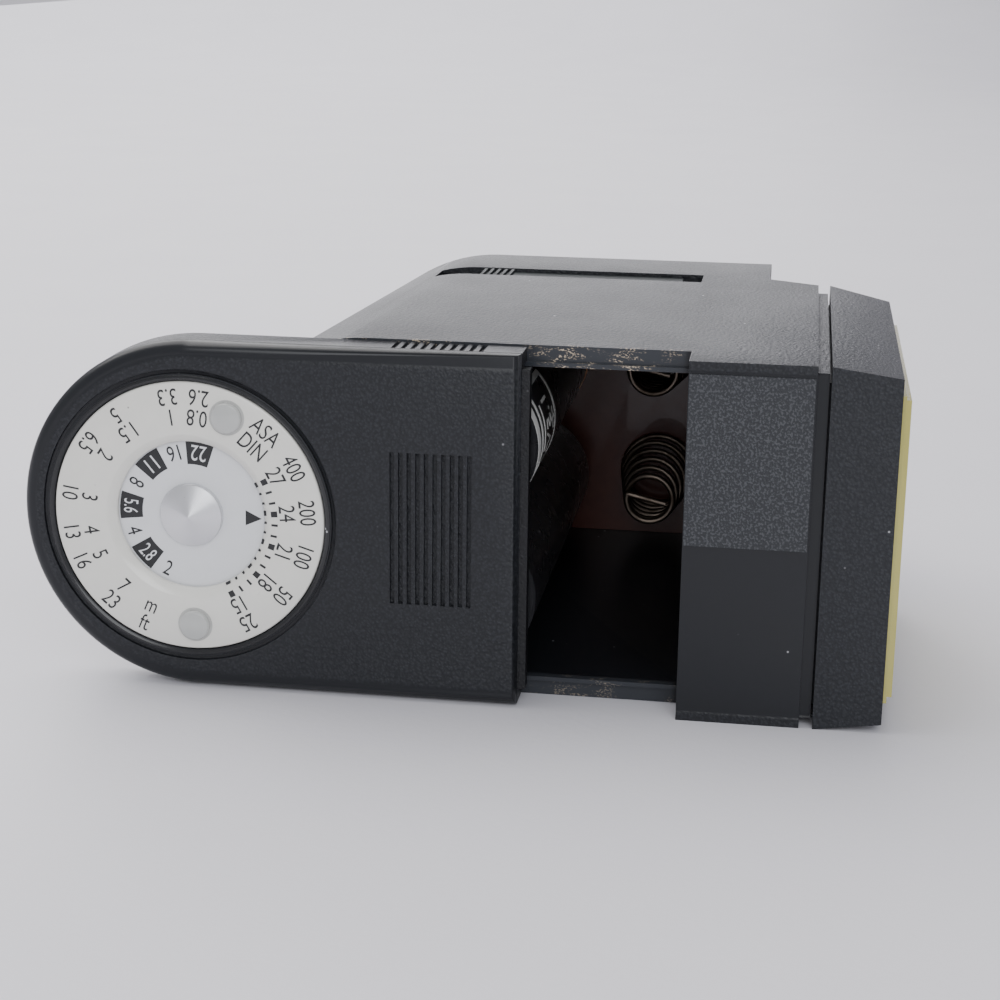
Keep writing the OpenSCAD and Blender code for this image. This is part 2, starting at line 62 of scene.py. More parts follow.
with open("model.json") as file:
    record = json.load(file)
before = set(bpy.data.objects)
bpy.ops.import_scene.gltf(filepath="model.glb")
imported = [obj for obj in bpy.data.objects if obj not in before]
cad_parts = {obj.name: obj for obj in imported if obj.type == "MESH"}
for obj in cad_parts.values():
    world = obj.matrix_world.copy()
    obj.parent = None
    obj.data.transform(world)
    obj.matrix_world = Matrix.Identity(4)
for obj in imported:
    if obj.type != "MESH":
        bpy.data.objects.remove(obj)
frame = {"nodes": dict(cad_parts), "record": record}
CAD_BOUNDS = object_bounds()
MM = 0.001
FRONT = np.array([0.0, -1.0, 0.0])
TABLE_LEVEL = CAD_BOUNDS[0][2]
SLIDE_CLEAR = 0.1 * MM
LIP_LONG = 0.8 * MM
# share of a font's size that its figures are high
FIGURE_RISE = 0.72
# the ring's two finger bosses: their angles in degrees, and their distance from the axis and radius in mm
BOSS_AT = (68.0, -88.0)
BOSS_RING = 11.2
BOSS_R = 1.55


# ---- measures read from the frame ----

def span(node, axis):
    """Low and high coordinate of a CAD node along one axis."""
    low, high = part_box(node)
    return low[axis], high[axis]


def middle(node):
    """Centre of a CAD node's box."""
    low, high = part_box(node)
    return (np.array(low) + np.array(high)) / 2


HUB = middle("dial_rivet")
FACE_Y = span("battery_cover", 1)[0]
DIAL = np.array([HUB[0], FACE_Y, HUB[2]])
COVER_HALF = (span("battery_cover", 2)[1] - span("battery_cover", 2)[0]) / 2
BODY_HALF = (span("main_housing", 2)[1] - span("main_housing", 2)[0]) / 2
# centre of the cover's round end, start of its lip, and the ledge that it slides on
ARC_X = span("battery_cover", 0)[0] + COVER_HALF
COVER_LIP = span("battery_cover", 0)[1] - LIP_LONG
LEDGE_Y = span("battery_cover", 1)[1] + SLIDE_CLEAR


# ---- meshes from arrays ----

def quads(rows, columns, wrap_rows=False, wrap_columns=False):
    """Faces of a grid: each cell joins a point to its next in row and column, round again if wrapped."""
    r = np.arange(rows if wrap_rows else rows - 1)
    c = np.arange(columns if wrap_columns else columns - 1)
    r, c = np.meshgrid(r, c, indexing="ij")
    up, along = (r + 1) % rows, (c + 1) % columns
    corners = [r * columns + c, r * columns + along, up * columns + along, up * columns + c]
    return np.stack(corners, -1).reshape(-1, 4)


def finish_mesh(name, mesh, material, body, replaced=(), sharp=35):
    """Makes a mesh a piece, smooth but for edges sharper than the angle, with its finish and body, and hides
    the CAD parts it replaces.
    """
    mesh.polygons.foreach_set("use_smooth", np.ones(len(mesh.polygons), bool))
    mesh.set_sharp_from_angle(angle=math.radians(sharp))
    mesh.materials.clear()
    mesh.materials.append(material)
    piece = bpy.data.objects.new(name, mesh)
    bpy.context.scene.collection.objects.link(piece)
    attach(piece, body)
    if replaced:
        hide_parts(*replaced)
    return piece


def make_piece(name, parts, material, body, replaced=(), sharp=35):
    """Joins (points, faces) parts into one piece, merges coincident points and turns faces outwards."""
    mesh = bpy.data.meshes.new(name)
    points = np.concatenate([p for p, _ in parts])
    starts = np.cumsum([0] + [len(p) for p, _ in parts[:-1]])
    faces = [[int(i + start) for i in face] for start, (_, part) in zip(starts, parts) for face in part]
    mesh.from_pydata(points.tolist(), [], faces)
    tidy = bmesh.new()
    tidy.from_mesh(mesh)
    bmesh.ops.remove_doubles(tidy, verts=tidy.verts, dist=1e-7)
    bmesh.ops.dissolve_degenerate(tidy, edges=tidy.edges, dist=1e-8)
    bmesh.ops.recalc_face_normals(tidy, faces=tidy.faces)
    tidy.to_mesh(mesh)
    tidy.free()
    return finish_mesh(name, mesh, material, body, replaced, sharp)


def turned(profile, centre, axis=FRONT, steps=96, closed=False):
    """A profile of (radius, height), in mm, turned about an axis.

    Each point is centre + height * axis + radius * (cos, sin) around the axis."""
    profile = np.asarray(profile, float) * MM
    axis = np.asarray(axis, float)
    side = np.array([0.0, 0.0, 1.0]) if abs(axis[2]) < 0.5 else np.array([1.0, 0.0, 0.0])
    across = np.cross(side, axis)
    angle = np.linspace(0, 2 * np.pi, steps, endpoint=False)
    ring = np.cos(angle)[:, None] * across + np.sin(angle)[:, None] * side
    points = centre + profile[:, None, 1:2] * axis + profile[:, None, 0:1] * ring[None]
    return points.reshape(-1, 3), quads(len(profile), steps, wrap_rows=closed, wrap_columns=True)


def wire(path, radius, axis, sides=12):
    """A round wire along a path: each ring stands square to the path, one arm square to the axis too."""
    run = np.gradient(path, axis=0)
    run /= np.linalg.norm(run, axis=1, keepdims=True)
    arm = np.cross(axis, run)
    arm /= np.linalg.norm(arm, axis=1, keepdims=True)
    lift = np.cross(run, arm)
    angle = np.linspace(0, 2 * np.pi, sides, endpoint=False)
    ring = np.cos(angle)[None, :, None] * arm[:, None] + np.sin(angle)[None, :, None] * lift[:, None]
    points = (path[:, None] + radius * ring).reshape(-1, 3)
    last = len(path) * sides
    points = np.concatenate([points, path[:1], path[-1:]])
    k = np.arange(sides)
    start = np.stack([np.full(sides, last), (k + 1) % sides, k, k], -1)
    end = np.stack([np.full(sides, last + 1), last - sides + k, last - sides + (k + 1) % sides], -1)
    faces = [list(f) for f in quads(len(path), sides, wrap_columns=True)]
    return points, faces + [list(f[:3]) for f in start] + [list(f) for f in end]


def softened(node, name, material, body, width, weigh, segments):
    """A copy of a CAD shell, merged and with flat faces joined, whose edges are rounded.

    weigh takes arrays of the edges' two ends and gives each a share, 0 to 1, of the full width in mm."""
    mesh = frame["nodes"][node].data.copy()
    mesh.name = name
    shell = bmesh.new()
    shell.from_mesh(mesh)
    bmesh.ops.remove_doubles(shell, verts=shell.verts, dist=2e-6)
    flat = math.radians(0.6)
    bmesh.ops.dissolve_limit(shell, angle_limit=flat, verts=shell.verts, edges=shell.edges)
    layer = shell.edges.layers.float.new("bevel_weight_edge")
    ends = np.array([[v.co[:] for v in edge.verts] for edge in shell.edges])
    share = weigh(ends[:, 0], ends[:, 1])
    for edge, value in zip(shell.edges, share):
        corner = edge.is_manifold and edge.calc_face_angle(0) > math.radians(30)
        edge[layer] = float(value) if corner else 0.0
    shell.to_mesh(mesh)
    shell.free()
    mesh.polygons.foreach_set("use_smooth", np.ones(len(mesh.polygons), bool))
    holder = bpy.data.objects.new(name + "_holder", mesh)
    bpy.context.scene.collection.objects.link(holder)
    bevel = holder.modifiers.new("rounding", "BEVEL")
    bevel.limit_method = "WEIGHT"
    bevel.width = width * MM
    bevel.segments = segments
    bevel.use_clamp_overlap = True
    bevel.harden_normals = True
    bpy.context.view_layer.update()
    rounded = bpy.data.meshes.new_from_object(holder.evaluated_get(bpy.context.evaluated_depsgraph_get()))
    rounded.name = name
    bpy.data.objects.remove(holder)
    return finish_mesh(name, rounded, material, body, (node,))


def all_over(share):
    """A weigh for softened that gives every edge the same share."""
    return lambda starts, _: np.full(len(starts), share)


def dress(material, *names):
    """Gives CAD nodes that stay in the model their finish."""
    for name in names:
        frame["nodes"][name].data.materials[0] = material


def round_dial(angle, radius):
    """A point of the cover's face at an angle, degrees from +X towards +Z, and a radius in mm."""
    a = math.radians(angle)
    return DIAL + radius * MM * np.array([math.cos(a), 0, math.sin(a)])


def near(values, target, slack=0.02):
    """True where a coordinate is within the slack, in mm, of a target."""
    return np.abs(values - target) < slack * MM


# ---- material maths ----

class Number:
    """A socket that carries a number; arithmetic on it adds Math nodes."""

    def __init__(self, paint, socket):
        self.paint, self.socket = paint, socket

    def math(self, operation, *values, clamp=False):
        settings = {"operation": operation, "use_clamp": clamp}
        return self.paint.node("ShaderNodeMath", settings, dict(enumerate(values)))

    def __add__(self, other): return self.math("ADD", self, other)
    def __radd__(self, other): return self.math("ADD", other, self)
    def __sub__(self, other): return self.math("SUBTRACT", self, other)
    def __rsub__(self, other): return self.math("SUBTRACT", other, self)
    def __mul__(self, other): return self.math("MULTIPLY", self, other)
    def __rmul__(self, other): return self.math("MULTIPLY", other, self)
    def __truediv__(self, other): return self.math("DIVIDE", self, other)
    def __pow__(self, other): return self.math("POWER", self, other)
    def __abs__(self): return self.math("ABSOLUTE", self)

    def most(self, other): return self.math("MAXIMUM", self, other)
    def least(self, other): return self.math("MINIMUM", self, other)

    def above(self, low, high):
        """0 below low, 1 above high, and smooth between."""
        inputs = {"Value": self, "From Min": low, "From Max": high}
        return self.paint.node("ShaderNodeMapRange", {"interpolation_type": "SMOOTHSTEP"}, inputs)


class Paint:
    """A material with one Principled shader and short calls for the nodes that feed it."""

    def __init__(self, name, colour, roughness, **constants):
        self.material = bpy.data.materials.new(name)
        self.material.use_nodes = True
        self.tree = self.material.node_tree
        self.shader = self.tree.nodes["Principled BSDF"]
        self.shader.inputs["Base Color"].default_value = (*colour, 1)
        self.shader.inputs["Roughness"].default_value = roughness
        for key, value in constants.items():
            self.shader.inputs[key.replace("_", " ").title().replace("Ior", "IOR")].default_value = value
        self.place = self.node("ShaderNodeTexCoord", {}, {}, "Object")
        self.bumps = None

    def node(self, kind, settings, inputs, output=0):
        """Adds a node: settings first, then values or links of its sockets."""
        node = self.tree.nodes.new(kind)
        for key, value in settings.items():
            setattr(node, key, value)
        for key, value in inputs.items():
            if isinstance(value, Number):
                self.tree.links.new(value.socket, node.inputs[key])
            else:
                node.inputs[key].default_value = value
        return Number(self, node.outputs[output])

    def axes(self):
        """The three Object coordinates as numbers, in mm."""
        split = self.tree.nodes.new("ShaderNodeSeparateXYZ")
        self.tree.links.new(self.place.socket, split.inputs[0])
        return [Number(self, socket) * 1000.0 for socket in split.outputs]

    def noise(self, size_mm, detail=2.0, stretch=(1, 1, 1)):
        """Cloudy noise from 0 to 1 with features about size_mm across."""
        scaled = self.stretched(stretch)
        inputs = {"Vector": scaled, "Scale": 1000.0 / size_mm, "Detail": detail}
        return self.node("ShaderNodeTexNoise", {}, inputs, "Fac")

    def cells(self, size_mm, feature="F1"):
        """Distance to scattered points about size_mm apart."""
        inputs = {"Vector": self.place, "Scale": 1000.0 / size_mm}
        return self.node("ShaderNodeTexVoronoi", {"feature": feature}, inputs, "Distance")

    def stretched(self, stretch):
        """Object coordinates, each times its own factor."""
        if tuple(stretch) == (1, 1, 1):
            return self.place
        return self.node("ShaderNodeMapping", {}, {"Vector": self.place, "Scale": stretch})

    def blend(self, share, first, second):
        """Colour that goes from first to second as share goes from 0 to 1."""
        first, second = [c if isinstance(c, Number) else (*c, 1) for c in (first, second)]
        settings = {"data_type": "RGBA"}
        inputs = {0: share, 6: first, 7: second}
        return self.node("ShaderNodeMix", settings, inputs, 2)

    def fed(self, socket):
        """What feeds a socket of the shader so far."""
        return Number(self, self.shader.inputs[socket].links[0].from_socket)

    def feed(self, socket, value):
        self.tree.links.new(value.socket, self.shader.inputs[socket])

    def bump(self, height, depth_mm):
        """Raises the surface by height, 0 to 1, times depth_mm."""
        inputs = {"Height": height, "Distance": depth_mm * MM, "Strength": 1.0}
        if self.bumps is not None:
            inputs["Normal"] = self.bumps
        self.bumps = self.node("ShaderNodeBump", {}, inputs)
        self.feed("Normal", self.bumps)
        return self


def dusted(paint, base, amount, size_mm=2.2, speck=(0.5, 0.5, 0.52)):
    """Base colour with pale specks of dust at scattered points, only where a second noise allows them."""
    speck_here = 1.0 - paint.cells(size_mm).above(0.03, 0.075)
    allowed = paint.noise(7.0, 1.0).above(0.62 - amount, 0.75 - amount)
    return paint.blend(speck_here * allowed, base, speck)


def grained(name, colour, grain_mm, depth_mm, roughness, dust, mask=None):
    """Moulded leather grain: pebbles with soft valleys between, their crowns made paler as a painted
    highlight, and a little dust.

    mask takes the paint and gives 1 where the grain shows and 0 where the moulding is smooth and glossier."""
    crown_highlight_lift = 1.1
    smooth_roughness = 0.3
    paint = Paint(name, colour, roughness, specular_ior_level=0.34)
    pebble = 1.0 - paint.cells(grain_mm, feature="SMOOTH_F1")
    fine = paint.noise(grain_mm * 0.6, 3.0)
    relief = pebble * 0.75 + fine * 0.5
    here = mask(paint) if mask else None
    height = relief * here if here is not None else relief
    crown = relief.above(0.55, 1.0)
    cloud = paint.noise(9.0, 3.0)
    # pale crown colour: a painted highlight on the pebbles' crowns, not a lighter plastic
    pale = tuple(min(1.0, c * (1 + crown_highlight_lift) + 0.006) for c in colour)
    shown = crown * (0.35 + cloud * 0.6)
    if here is not None:
        shown = shown * here
    tone = paint.blend(shown, colour, pale)
    paint.feed("Base Color", dusted(paint, tone, dust))
    rough = roughness + (cloud - 0.5) * 0.12 + crown * 0.05
    if here is not None:
        rough = rough * here + (1.0 - here) * smooth_roughness
    paint.feed("Roughness", rough)
    paint.bump(height, depth_mm)
    return paint


def smooth_plastic(name, colour, roughness=0.3, dust=0.06, **constants):
    """Polished moulding with faint waviness, handling haze and a few specks of dust."""
    paint = Paint(name, colour, roughness, **constants)
    haze = paint.noise(5.0, 4.0)
    pale = tuple(min(1.0, c * 1.25 + 0.004) for c in colour)
    paint.feed("Base Color", dusted(paint, paint.blend(haze, colour, pale), dust))
    paint.feed("Roughness", roughness + (haze - 0.5) * 0.16)
    paint.bump(paint.noise(1.1, 2.0), 0.004)
    return paint.material


def bare_metal(name, colour, roughness, line=(1, 1, 1), tarnish=None):
    """Metal with fine lines along one direction and patches of tarnish."""
    paint = Paint(name, colour, roughness, metallic=1.0)
    lines = paint.noise(0.16, 3.0, line)
    patches = paint.noise(2.4, 4.0).above(0.45, 0.7)
    paint.feed("Base Color", paint.blend(patches * 0.7, colour, tarnish or tuple(c * 0.7 for c in colour)))
    paint.feed("Roughness", roughness + (lines - 0.5) * 0.2 + patches * 0.1)
    paint.bump(lines, 0.004)
    return paint.material


def printed(name, colour, roughness=0.42, **constants):
    """Ink or a printed plate: even colour with a slight mottle and faint handling marks."""
    paint = Paint(name, colour, roughness, **constants)
    mottle = paint.noise(1.4, 4.0)
    shade = tuple(c * 0.93 for c in colour)
    paint.feed("Base Color", dusted(paint, paint.blend(mottle, colour, shade), 0.0, 1.7, (0.3, 0.28, 0.26)))
    paint.feed("Roughness", roughness + (mottle - 0.5) * 0.12)
    paint.bump(mottle, 0.003)
    return paint.material


def clear_plastic(name, colour, roughness, transmission, **constants):
    """Tinted or clear moulding that lets part of the light through."""
    paint = Paint(name, colour, roughness, transmission_weight=transmission, ior=1.49, **constants)
    flow = paint.noise(2.0, 2.0)
    paint.feed("Roughness", roughness + (flow - 0.5) * 0.08)
    paint.bump(flow, 0.004)
    return paint.material


# ---- settings a user would change ----

class FlashGunColours(bpy.types.PropertyGroup):
    housing: bpy.props.FloatVectorProperty(
        name="Housing", description="Moulded housing and cover", subtype="COLOR",
        size=3, min=0, max=1, default=(0.0105, 0.0115, 0.0142))
    panel: bpy.props.FloatVectorProperty(
        name="Panel grain", description="Speckled upper half of the fixed panel", subtype="COLOR",
        size=3, min=0, max=1, default=(0.016, 0.018, 0.022))
    scale: bpy.props.FloatVectorProperty(
        name="Scale ring", description="White of the turning scale ring", subtype="COLOR",
        size=3, min=0, max=1, default=(0.80, 0.79, 0.735))
    disc: bpy.props.FloatVectorProperty(
        name="Aperture disc", description="White of the disc inside the ring", subtype="COLOR",
        size=3, min=0, max=1, default=(0.78, 0.79, 0.81))
    ink: bpy.props.FloatVectorProperty(
        name="Ink", description="Figures and marks of the dial", subtype="COLOR",
        size=3, min=0, max=1, default=(0.018, 0.018, 0.02))
    window: bpy.props.FloatVectorProperty(
        name="Lamp window", description="Tinted window of the lamp head", subtype="COLOR",
        size=3, min=0, max=1, default=(0.62, 0.56, 0.16))


class FlashGunSizes(bpy.types.PropertyGroup):
    edge_round: bpy.props.FloatProperty(
        name="Edge rounding", description="Rounding of the cover's and panel's outer edges",
        unit="LENGTH", min=0.0003, max=0.002, default=0.0012)
    figure_height: bpy.props.FloatProperty(
        name="Figure height", description="Height of the dial's figures",
        unit="LENGTH", min=0.001, max=0.002, default=0.00172)
    grain: bpy.props.FloatProperty(
        name="Grain", description="Distance between pebbles of the moulded grain",
        unit="LENGTH", min=0.0002, max=0.001, default=0.00030)
    spring_wire: bpy.props.FloatProperty(
        name="Spring wire", description="Diameter of the contact springs' wire",
        unit="LENGTH", min=0.0004, max=0.001, default=0.00072)


def colour(name):
    return tuple(getattr(bpy.context.scene.flash_gun_colours, name))


def size_mm(name):
    return getattr(bpy.context.scene.flash_gun_sizes, name) / MM


def grain_away_from_rim(paint):
    """1 on the cover's face and flanges, 0 on the polished rounding of its edge and round the dial."""
    polished_in, polished_out = 1.75, 1.25
    dial_rim = 14.7
    x, y, z = paint.axes()
    dx = (x - ARC_X / MM).least(0.0)
    dz = z - DIAL[2] / MM
    reach = (dx * dx + dz * dz) ** 0.5
    rim = reach.above(COVER_HALF / MM - polished_in, COVER_HALF / MM - polished_out)
    inside = 1.0 - rim * (1.0 - y.above(FACE_Y / MM + 0.9, FACE_Y / MM + 1.3))
    wx = x - DIAL[0] / MM
    from_dial = (wx * wx + dz * dz) ** 0.5
    return inside * from_dial.above(dial_rim, 15.1)


# ---- operators, one per group ----

class FLASHGUN_OT_stage(bpy.types.Operator):
    """Pale floor and backdrop, soft studio lights and the camera."""
    bl_idname = "flash_gun.stage"
    bl_label = "Stage"

    def execute(self, context):
        sweep = np.linspace(0, math.pi / 2, 24)
        bend = 0.5
        back = 0.9
        near_end, wall_high, half_wide = -3.0, 6.0, 7.0
        curve = np.stack([back + bend * np.sin(sweep), bend * (1 - np.cos(sweep))], -1)
        profile = np.concatenate([[[near_end, 0.0]], curve, [[back + bend, wall_high]]])
        left = np.stack([np.full(len(profile), -half_wide), profile[:, 0], profile[:, 1] + TABLE_LEVEL], -1)
        right = left * [-1, 1, 1]
        points = np.stack([left, right], 1).reshape(-1, 3)
        mesh = bpy.data.meshes.new("floor")
        mesh.from_pydata(points.tolist(), [], quads(len(profile), 2).tolist())
        mesh.polygons.foreach_set("use_smooth", np.ones(len(mesh.polygons), bool))
        floor = bpy.data.objects.new("floor", mesh)
        context.scene.collection.objects.link(floor)
        paint = Paint("floor_paper", (0.70, 0.69, 0.735), 0.55)
        wear = paint.noise(30.0, 5.0)
        paint.feed("Base Color", paint.blend(wear, (0.685, 0.672, 0.72), (0.735, 0.725, 0.765)))
        paint.bump(paint.noise(0.9, 4.0), 0.03)
        mesh.materials.append(paint.material)
        self.light("key", (-0.35, 0.25, 0.75), 0.9, 9.5, (1.0, 0.985, 0.97))
        self.light("front", (0.25, -0.9, 0.55), 0.7, 5.5, (0.95, 0.97, 1.0))
        self.light("wall", (-0.3, 1.0, 0.35), 0.8, 4.0, (0.98, 0.98, 1.0))
        world = bpy.data.worlds.new("studio")
        world.use_nodes = True
        world.node_tree.nodes["Background"].inputs["Color"].default_value = (0.86, 0.87, 0.9, 1)
        world.node_tree.nodes["Background"].inputs["Strength"].default_value = 0.7
        context.scene.world = world
        self.camera(context)
        return {"FINISHED"}

    @staticmethod
    def light(name, place, width, power, tint):
        """A square soft light that faces the object."""
        data = bpy.data.lights.new(name, "AREA")
        data.shape, data.size, data.energy, data.color = "SQUARE", width, power, tint
        lamp = bpy.data.objects.new(name, data)
        aim = Vector(place).to_track_quat("Z", "Y").to_matrix().to_4x4()
        lamp.matrix_world = Matrix.Translation(place) @ aim
        bpy.context.scene.collection.objects.link(lamp)

    @staticmethod
    def camera(context):
        """A hand-held view from in front and above, its line given by yaw, pitch and a slight roll."""
        yaw, pitch, roll = (math.radians(a) for a in (-8.504, -15.818, 0.723))
        forward = Vector((math.sin(yaw) * math.cos(pitch), math.cos(yaw) * math.cos(pitch), math.sin(pitch)))
        level = forward.cross(Vector((0, 0, 1))).normalized()
        upright = level.cross(forward)
        right = level * math.cos(roll) + upright * math.sin(roll)
        up = upright * math.cos(roll) - level * math.sin(roll)
        turn = Matrix((right, up, -forward)).transposed().to_4x4()
        data = bpy.data.cameras.new("camera")
        data.lens, data.sensor_width = 71.94, 36.0
        data.clip_start = 0.01
        camera = bpy.data.objects.new("camera", data)
        place = Vector(DIAL) + Vector((58.794, -183.893, 56.2)) * MM
        camera.matrix_world = Matrix.Translation(place) @ turn
        context.scene.collection.objects.link(camera)
        context.scene.camera = camera


class FLASHGUN_OT_cover(bpy.types.Operator):
    """Sliding battery cover: rounded, grained shell and the polished lip round its dial."""
    bl_idname = "flash_gun.cover"
    bl_label = "Battery cover"

    def execute(self, context):
        black = colour("housing")
        finish = grained("cover_grain", black, size_mm("grain"), 0.09, 0.42, 0.07, grain_away_from_rim)
        # the lip past COVER_LIP is painted near black: painted shade, as the lip is the same plastic and only
        # lies in shadow
        lip_shade_mask = finish.axes()[0].above(COVER_LIP / MM - 0.05, COVER_LIP / MM + 0.05)
        lip_painted_shade = finish.blend(lip_shade_mask * 0.75, finish.fed("Base Color"), (0.004, 0.004, 0.005))
        finish.feed("Base Color", lip_painted_shade)
        width = size_mm("edge_round")

        def weigh(a, b):
            reach = [np.where(p[:, 0] < ARC_X, np.hypot(p[:, 0] - ARC_X, p[:, 2] - DIAL[2]),
                              np.abs(p[:, 2] - DIAL[2])) for p in (a, b)]
            outline = near(reach[0], COVER_HALF, 0.1) & near(reach[1], COVER_HALF, 0.1)
            front = near(a[:, 1], FACE_Y) & near(b[:, 1], FACE_Y)
            return np.where(front, np.where(outline, 0.95, 0.06), 0.0)

        softened("battery_cover", "battery_cover_shell", finish.material, "cover",
                 width, weigh, 6)
        lip = [(13.88, -1.5), (13.88, -0.14), (13.98, 0.0), (14.2, 0.1), (14.4, 0.06), (14.52, -0.1),
               (14.52, -1.5)]
        gloss = smooth_plastic("rim_gloss", (0.008, 0.0085, 0.01), 0.2)
        make_piece("dial_rim", [turned(lip, DIAL, closed=True, steps=160)], gloss, "cover")
        brass = bare_metal("contact_brass", (0.72, 0.6, 0.36), 0.3, (1, 1, 6), (0.35, 0.27, 0.16))
        dress(brass, "bridge_contact_upper", "bridge_contact_lower")
        dress(bare_metal("clip_steel", (0.6, 0.6, 0.62), 0.32), "dial_clip")
        return {"FINISHED"}


def text_part(words, height, squeeze=0.74, thick=0.02):
    """Points, in mm, and faces of a word: x along it, y up, centred, its figures of the height given."""
    curve = bpy.data.curves.new(words, "FONT")
    curve.body = words
    curve.resolution_u = 4
    curve.extrude = thick / 2
    curve.align_x = "LEFT"
    holder = bpy.data.objects.new(words, curve)
    bpy.context.scene.collection.objects.link(holder)
    bpy.context.view_layer.update()
    mesh = bpy.data.meshes.new_from_object(holder.evaluated_get(bpy.context.evaluated_depsgraph_get()))
    points = np.empty(len(mesh.vertices) * 3)
    mesh.vertices.foreach_get("co", points)
    points = points.reshape(-1, 3)
    faces = [list(p.vertices) for p in mesh.polygons]
    bpy.data.objects.remove(holder)
    bpy.data.meshes.remove(mesh)
    low, high = points.min(0), points.max(0)
    scale = height / FIGURE_RISE
    points[:, 0] = (points[:, 0] - (low[0] + high[0]) / 2) * scale * squeeze
    points[:, 1] = (points[:, 1] - FIGURE_RISE / 2) * scale
    return points, faces


def on_dial(part, angle, radius, height, outward):
    """Lays a word on the dial at an angle, degrees from +X towards +Z, its top outward or to the centre."""
    points, faces = part
    a = math.radians(angle)
    radial = np.array([math.cos(a), 0, math.sin(a)])
    up = radial if outward else -radial
    along = np.cross(up, FRONT)
    place = DIAL + radial * radius * MM + FRONT * height * MM
    moved = place + MM * (points[:, :1] * along + points[:, 1:2] * up + points[:, 2:3] * FRONT)
    return moved, faces


def sector(inner, outer, start, end, low, high, steps=6):
    """A closed slab between two radii and two angles, in mm and degrees, from low to high above the face."""
    angle = np.radians(np.linspace(start, end, steps))
    direction = np.stack([np.cos(angle), np.zeros(steps), np.sin(angle)], -1)
    rings = [(inner, low), (outer, low), (outer, high), (inner, high)]
    points = np.concatenate([DIAL + direction * r * MM + FRONT * h * MM for r, h in rings])
    faces = [list(f) for f in quads(4, steps, wrap_rows=True)]
    ends = [[k * steps for k in range(4)], [k * steps + steps - 1 for k in (3, 2, 1, 0)]]
    return points, faces + ends


